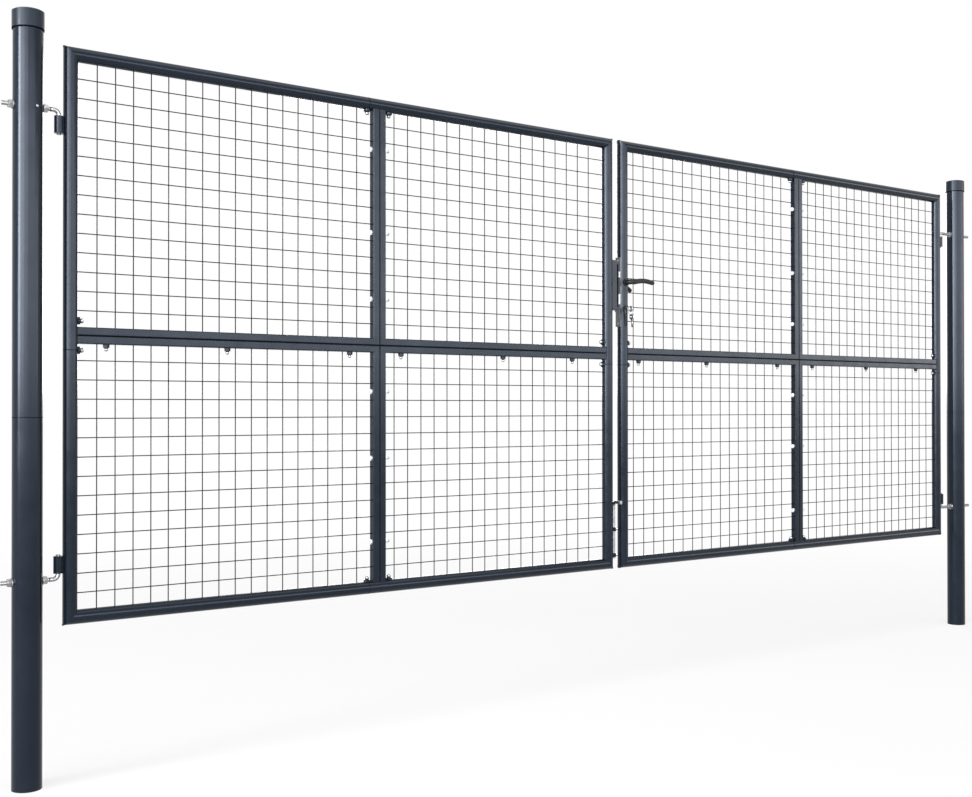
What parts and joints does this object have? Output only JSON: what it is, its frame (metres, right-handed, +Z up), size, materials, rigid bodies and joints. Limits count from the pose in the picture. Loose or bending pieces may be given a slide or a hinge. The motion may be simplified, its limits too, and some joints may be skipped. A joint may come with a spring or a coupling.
{
  "type": "double mesh garden gate with posts",
  "caption": "Double-leaf welded-mesh garden gate hung on bent threaded pins between round capped posts, with a lever lock, keep and drop bolt.",
  "frame": {"origin": "centre of the left post's foot", "axes": "+X from the left post to the right post, +Y to the back, towards which the leaves open, +Z up"},
  "size_m": [4.281, 0.1106, 2.004],
  "materials": {
    "powder_coat": "glossy anthracite powder coat",
    "mesh_wire": "powder-coated welded wire",
    "black_plastic": "black moulded plastic",
    "zinc": "bright zinc plating"
  },
  "bodies": {
    "posts": {"left_post_lower": "powder_coat", "left_post_upper": "powder_coat", "left_post_cap": "black_plastic", "left_hinge_pins": "zinc", "left_hinge_nuts": "zinc", "right_post_lower": "powder_coat", "right_post_upper": "powder_coat", "right_post_cap": "black_plastic", "right_hinge_pins": "zinc", "right_hinge_nuts": "zinc"},
    "left_leaf": {"left_leaf_mesh_upper_left": "mesh_wire", "left_leaf_mesh_upper_right": "mesh_wire", "left_leaf_mesh_lower_left": "mesh_wire", "left_leaf_mesh_lower_right": "mesh_wire", "left_leaf_outer_rails_left": "powder_coat", "left_leaf_outer_rails_right": "powder_coat", "left_leaf_outer_stiles_upper": "powder_coat", "left_leaf_outer_stiles_lower": "powder_coat", "left_leaf_inner_rails_upper": "powder_coat", "left_leaf_inner_rails_lower": "powder_coat", "left_leaf_inner_uprights_left": "powder_coat", "left_leaf_inner_uprights_right": "powder_coat", "left_leaf_hinge_barrels": "powder_coat", "lock_keep": "powder_coat", "drop_bolt_guides": "powder_coat"},
    "right_leaf": {"right_leaf_mesh_upper_left": "mesh_wire", "right_leaf_mesh_upper_right": "mesh_wire", "right_leaf_mesh_lower_left": "mesh_wire", "right_leaf_mesh_lower_right": "mesh_wire", "right_leaf_outer_rails_left": "powder_coat", "right_leaf_outer_rails_right": "powder_coat", "right_leaf_outer_stiles_upper": "powder_coat", "right_leaf_outer_stiles_lower": "powder_coat", "right_leaf_inner_rails_upper": "powder_coat", "right_leaf_inner_rails_lower": "powder_coat", "right_leaf_inner_uprights_left": "powder_coat", "right_leaf_inner_uprights_right": "powder_coat", "right_leaf_hinge_barrels": "powder_coat", "lock_faceplate": "zinc", "latch_and_dead_bolt": "zinc", "lock_rosettes": "black_plastic", "lock_cylinder": "zinc"},
    "lever": {"front_lever": "black_plastic", "rear_lever": "black_plastic", "lever_spindle": "zinc"},
    "drop_bolt": {"drop_bolt_rod": "zinc"}
  },
  "joints": [
    {"name": "left_leaf_swing", "type": "hinge", "parent": "posts", "child": "left_leaf", "pos_m": [0.079, 0, 1.17], "axis": [0, 0, 1], "range_deg": [0, 100]},
    {"name": "right_leaf_swing", "type": "hinge", "parent": "posts", "child": "right_leaf", "pos_m": [3.998, 0, 1.17], "axis": [0, 0, -1], "range_deg": [0, 100]},
    {"name": "lever_press", "type": "hinge", "parent": "right_leaf", "child": "lever", "pos_m": [2.075, 0, 1.424], "axis": [0, 1, 0], "range_deg": [0, 40], "stiffness_Nm_per_rad": 0.6, "springref_deg": -28.65},
    {"name": "drop_bolt_slide", "type": "slide", "parent": "left_leaf", "child": "drop_bolt", "axis": [0, 0, 1], "range_m": [-0.07, 0]}
  ]
}
